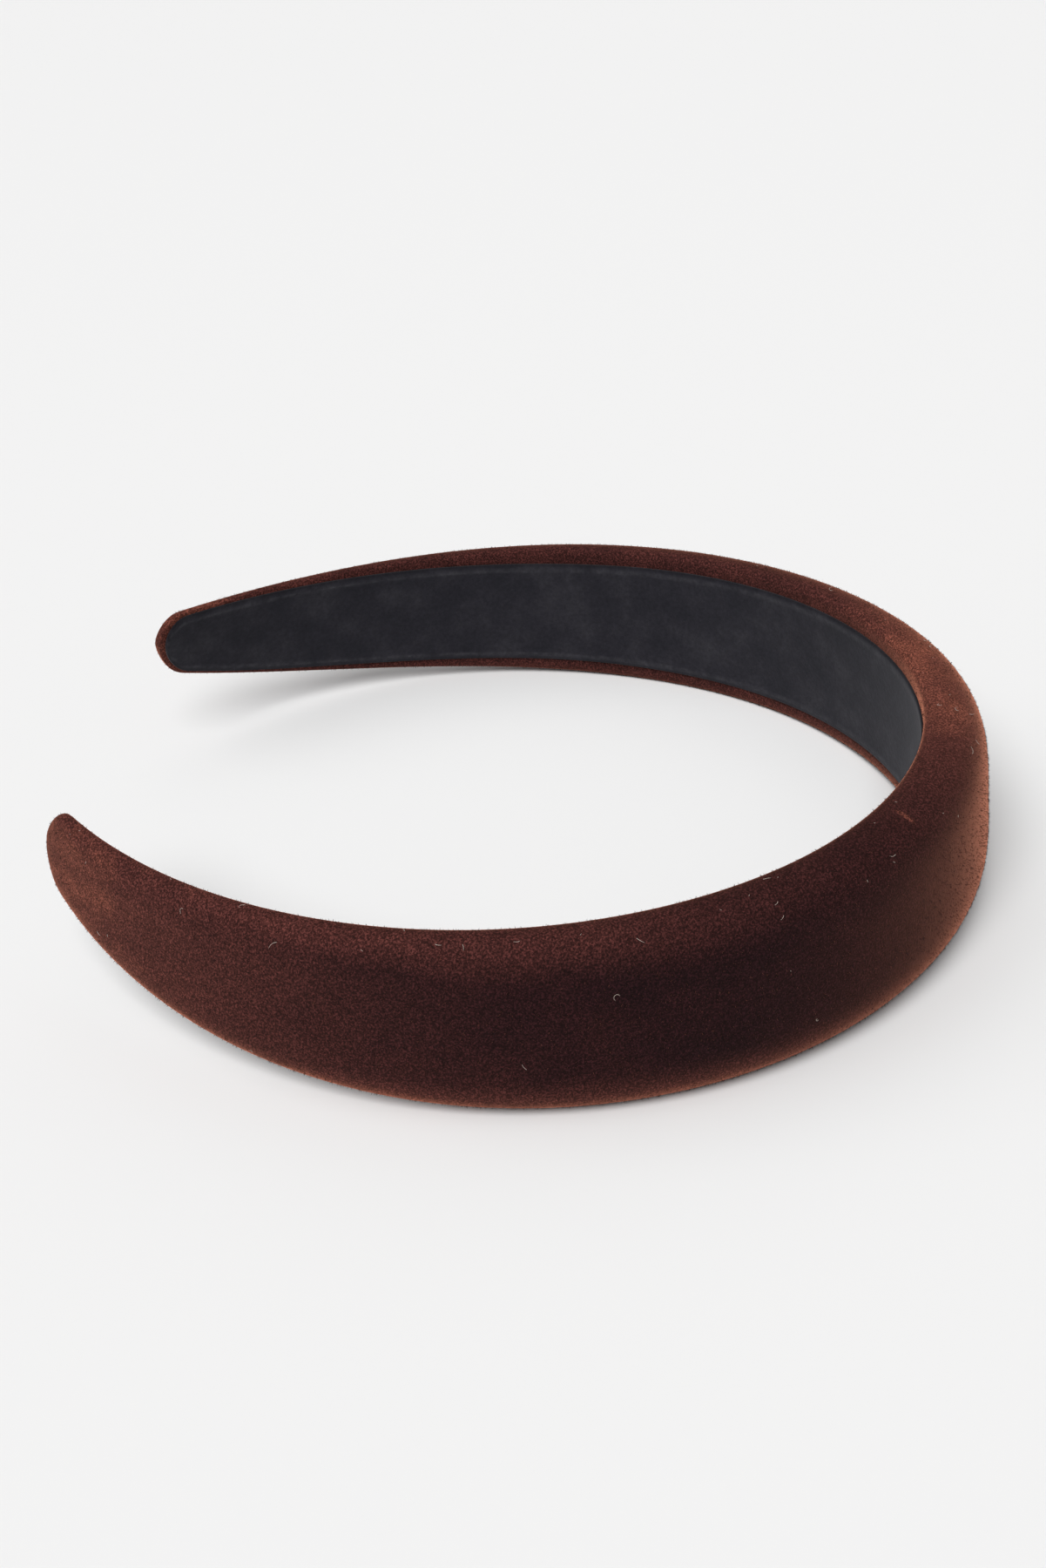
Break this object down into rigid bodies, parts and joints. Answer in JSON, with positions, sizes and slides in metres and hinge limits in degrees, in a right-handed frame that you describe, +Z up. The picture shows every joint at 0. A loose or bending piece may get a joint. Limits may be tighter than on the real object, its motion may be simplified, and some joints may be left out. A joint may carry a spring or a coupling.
{
  "type": "padded headband",
  "caption": "Padded velvet hair band: a springy open hoop with a domed foam pad, a wrapped velvet cover and a dark suede lining on its inner face.",
  "frame": {"origin": "centre of the bounding box in plan, on the table the band lies on", "axes": "+Z up, across the band's width as it lies on its lower edge; +Y from the open end to the crown; +X to the right arm"},
  "size_m": [0.1494, 0.1544, 0.0317],
  "materials": {
    "velvet": "short brown velvet pile with a soft sheen at grazing angles",
    "lining_suede": "matte charcoal suede felt",
    "foam": "open-cell foam",
    "core_plastic": "moulded, satin",
    "adhesive": "dried glue film"
  },
  "bodies": {
    "left_arm": {"velvet_cover_left": "velvet", "foam_pad_left": "foam", "pad_adhesive_left": "adhesive", "spring_core_left": "core_plastic", "lining_adhesive_left": "adhesive", "lining_left": "lining_suede"},
    "right_arm": {"velvet_cover_right": "velvet", "foam_pad_right": "foam", "pad_adhesive_right": "adhesive", "spring_core_right": "core_plastic", "lining_adhesive_right": "adhesive", "lining_right": "lining_suede"}
  },
  "joints": [
    {"name": "arm_flex", "type": "hinge", "parent": "left_arm", "child": "right_arm", "pos_m": [0, 0.0773, 0.0162], "axis": [0, 0, 1], "range_deg": [0, 20], "stiffness_Nm_per_rad": 0.8}
  ]
}
